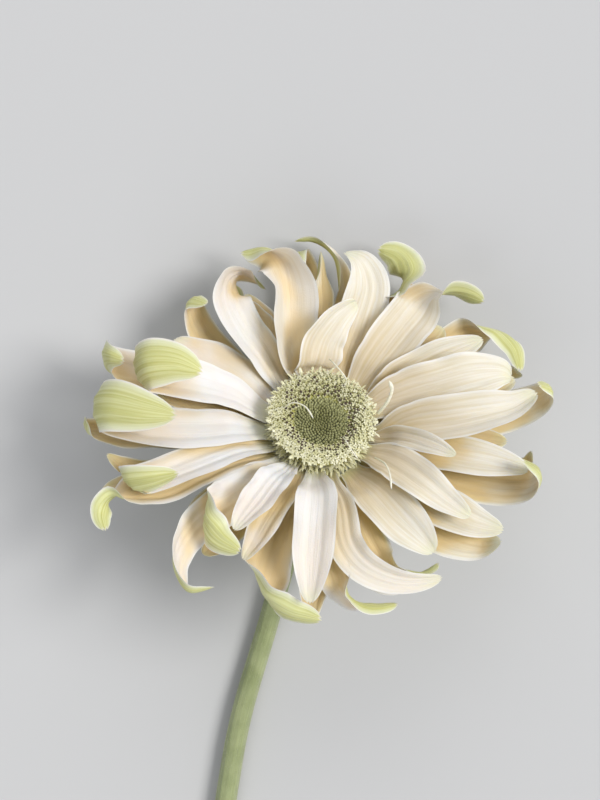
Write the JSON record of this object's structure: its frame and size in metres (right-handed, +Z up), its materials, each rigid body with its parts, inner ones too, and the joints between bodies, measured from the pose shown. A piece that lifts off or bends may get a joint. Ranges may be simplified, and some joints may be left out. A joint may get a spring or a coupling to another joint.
{
  "type": "cut gerbera",
  "caption": "Cut gerbera flower lying on its side: long curled cream petals round a green disc, on a green cup of bracts and a bare stem.",
  "frame": {"origin": "middle of the part's box, at the height of the table it lies on", "axes": "+Z up from the table; the stem lies along -Y from the flower head, its cut end at -Y"},
  "size_m": [0.115, 0.3454, 0.0579],
  "materials": {
    "petals": "soft satin, cream with yellow-green undersides",
    "disc_buds": "matte, tightly packed green buds",
    "disc_florets": "matte, open cream-yellow florets",
    "bracts": "matte, finely hairy green",
    "stem": "matte, finely hairy green"
  },
  "bodies": {
    "root": {"petal_row1_01": "petals", "petal_row1_02": "petals", "petal_row1_03": "petals", "petal_row1_04": "petals", "petal_row1_05": "petals", "petal_row1_06": "petals", "petal_row1_07": "petals", "petal_row1_08": "petals", "petal_row1_09": "petals", "petal_row1_10": "petals", "petal_row1_11": "petals", "petal_row1_12": "petals", "petal_row2_01": "petals", "petal_row2_02": "petals", "petal_row2_03": "petals", "petal_row2_04": "petals", "petal_row2_05": "petals", "petal_row2_06": "petals", "petal_row2_07": "petals", "petal_row2_08": "petals", "petal_row2_09": "petals", "petal_row2_10": "petals", "petal_row2_11": "petals", "petal_row2_12": "petals", "petal_row2_13": "petals", "petal_row3_01": "petals", "petal_row3_02": "petals", "petal_row3_03": "petals", "petal_row3_04": "petals", "petal_row3_05": "petals", "petal_row3_06": "petals", "petal_row3_07": "petals", "petal_row3_08": "petals", "petal_row3_09": "petals", "petal_row3_10": "petals", "petal_row3_11": "petals", "petal_row3_12": "petals", "petal_row3_13": "petals", "petal_row3_14": "petals", "petal_row4_01": "petals", "petal_row4_02": "petals", "petal_row4_03": "petals", "petal_row4_04": "petals", "petal_row4_05": "petals", "petal_row4_06": "petals", "petal_row4_07": "petals", "petal_row4_08": "petals", "petal_row4_09": "petals", "petal_row4_10": "petals", "petal_row4_11": "petals", "petal_row5_01": "petals", "petal_row5_02": "petals", "petal_row5_03": "petals", "petal_row5_04": "petals", "petal_row5_05": "petals", "petal_row5_06": "petals", "disc_buds": "disc_buds", "disc_florets": "disc_florets", "involucre": "bracts", "stem": "stem"}
  },
  "joints": []
}
